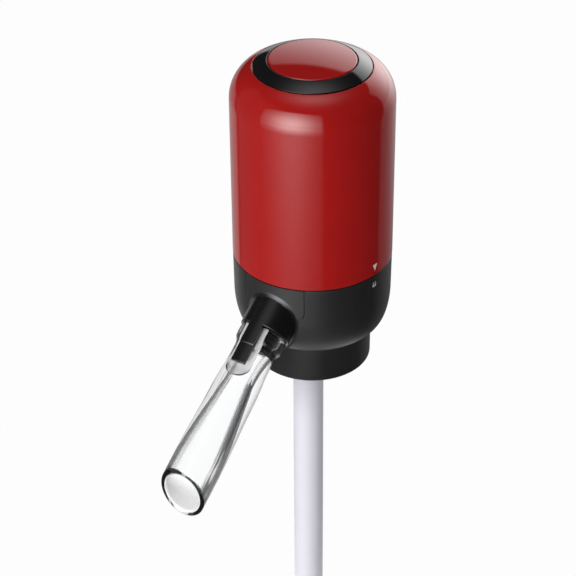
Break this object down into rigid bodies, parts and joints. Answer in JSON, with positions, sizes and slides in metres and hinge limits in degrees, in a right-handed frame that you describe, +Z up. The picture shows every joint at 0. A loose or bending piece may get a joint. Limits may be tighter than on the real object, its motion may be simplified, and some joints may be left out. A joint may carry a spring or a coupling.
{
  "type": "electric wine aerator",
  "caption": "Electric wine aerator that plugs into a bottle's neck: twist-off red shell with a push button, air pump, black base, clear slanted spout and long straw.",
  "frame": {"origin": "middle of the stopper flange's underside, where the bottle's rim rests", "axes": "+Z up the body's axis to the button, -Y the way the spout points, X across"},
  "size_m": [0.0516, 0.1037, 0.3362],
  "materials": {
    "red_plastic": "glossy deep red moulding",
    "black_gloss": "polished black moulding",
    "black_plastic": "smooth black moulding",
    "dark_plastic": "matt dark grey moulding",
    "grey_plastic": "matt grey moulding",
    "white_plastic": "white moulding",
    "clear_plastic": "polished clear moulding",
    "black_rubber": "soft black rubber",
    "white_rubber": "soft translucent silicone",
    "steel": "plated steel",
    "brass": "plain brass",
    "copper": "copper winding on an iron core",
    "cell_metal": "plain wrapped cell",
    "board_green": "green circuit board",
    "red_wire": "red insulated wire"
  },
  "bodies": {
    "base": {"air_check_valve": "white_rubber", "base_housing": "black_plastic", "battery_1": "cell_metal", "battery_2": "cell_metal", "battery_3": "cell_metal", "battery_4": "cell_metal", "battery_lead_black": "black_rubber", "battery_lead_red": "red_wire", "battery_spring_1": "steel", "battery_spring_2": "steel", "battery_spring_3": "steel", "battery_spring_4": "steel", "bottle_collar": "black_plastic", "bottle_stopper": "black_rubber", "bottom_link_plate": "brass", "bottom_negative_plate": "brass", "bottom_positive_plate": "brass", "chassis": "grey_plastic", "chassis_screw_1": "steel", "chassis_screw_2": "steel", "chassis_screw_3": "steel", "chassis_screw_4": "steel", "contact_deck": "grey_plastic", "deck_screw_1": "steel", "deck_screw_2": "steel", "deck_screw_3": "steel", "deck_screw_4": "steel", "diaphragm": "black_rubber", "magnet_ring": "dark_plastic", "manifold": "grey_plastic", "motor_can": "steel", "motor_end_cap": "white_plastic", "motor_lead_black": "black_rubber", "motor_lead_red": "red_wire", "nozzle_oring": "black_rubber", "outlet_valve": "white_rubber", "pump_cover": "dark_plastic", "pump_head": "dark_plastic", "spout_mount": "black_plastic", "spout_oring_1": "black_rubber", "spout_oring_2": "black_rubber", "switch_board": "board_green", "tact_switch": "dark_plastic", "top_link_plate_1": "brass", "top_link_plate_2": "brass", "valve_plate": "white_plastic"},
    "shell": {"outer_shell": "red_plastic", "top_ring": "black_gloss", "button_retainer": "black_plastic", "button_spring": "steel"},
    "button": {"button_cap": "red_plastic"},
    "plunger": {"switch_plunger": "white_plastic"},
    "rotor": {"motor_shaft": "steel", "armature": "copper", "eccentric_hub": "brass", "yoke_pin": "steel"},
    "yoke": {"pump_yoke": "white_plastic"},
    "spout": {"clear_spout": "clear_plastic"},
    "straw": {"suction_straw": "white_plastic"}
  },
  "joints": [
    {"name": "twist_lock", "type": "hinge", "parent": "base", "child": "shell", "pos_m": [0, 0, 0.0295], "axis": [0, 0, 1], "range_deg": [0, 20]},
    {"name": "button_press", "type": "slide", "parent": "shell", "child": "button", "axis": [0, 0, -1], "range_m": [0, 0.0008], "stiffness_N_per_m": 2000, "springref_m": -0.0004, "deforming": ["button_spring"]},
    {"name": "plunger_press", "type": "slide", "parent": "base", "child": "plunger", "axis": [0, 0, -1], "range_m": [0, 0.0008]},
    {"name": "motor_spin", "type": "hinge", "parent": "base", "child": "rotor", "pos_m": [0, 0, 0.0584], "axis": [0, 0, 1], "continuous": true},
    {"name": "yoke_nod", "type": "hinge", "parent": "rotor", "child": "yoke", "pos_m": [0, 0, 0.03604], "axis": [0, 0.0872, 0.9962], "continuous": true},
    {"name": "spout_pull", "type": "slide", "parent": "base", "child": "spout", "axis": [0, -0.8387, -0.5446], "range_m": [0, 0.016]},
    {"name": "straw_pull", "type": "slide", "parent": "base", "child": "straw", "axis": [0, 0, -1], "range_m": [0, 0.025]}
  ],
  "couplings": [
    {"joint": "plunger_press", "follows": "button_press", "ratio": 1},
    {"joint": "yoke_nod", "follows": "motor_spin", "ratio": -1}
  ]
}
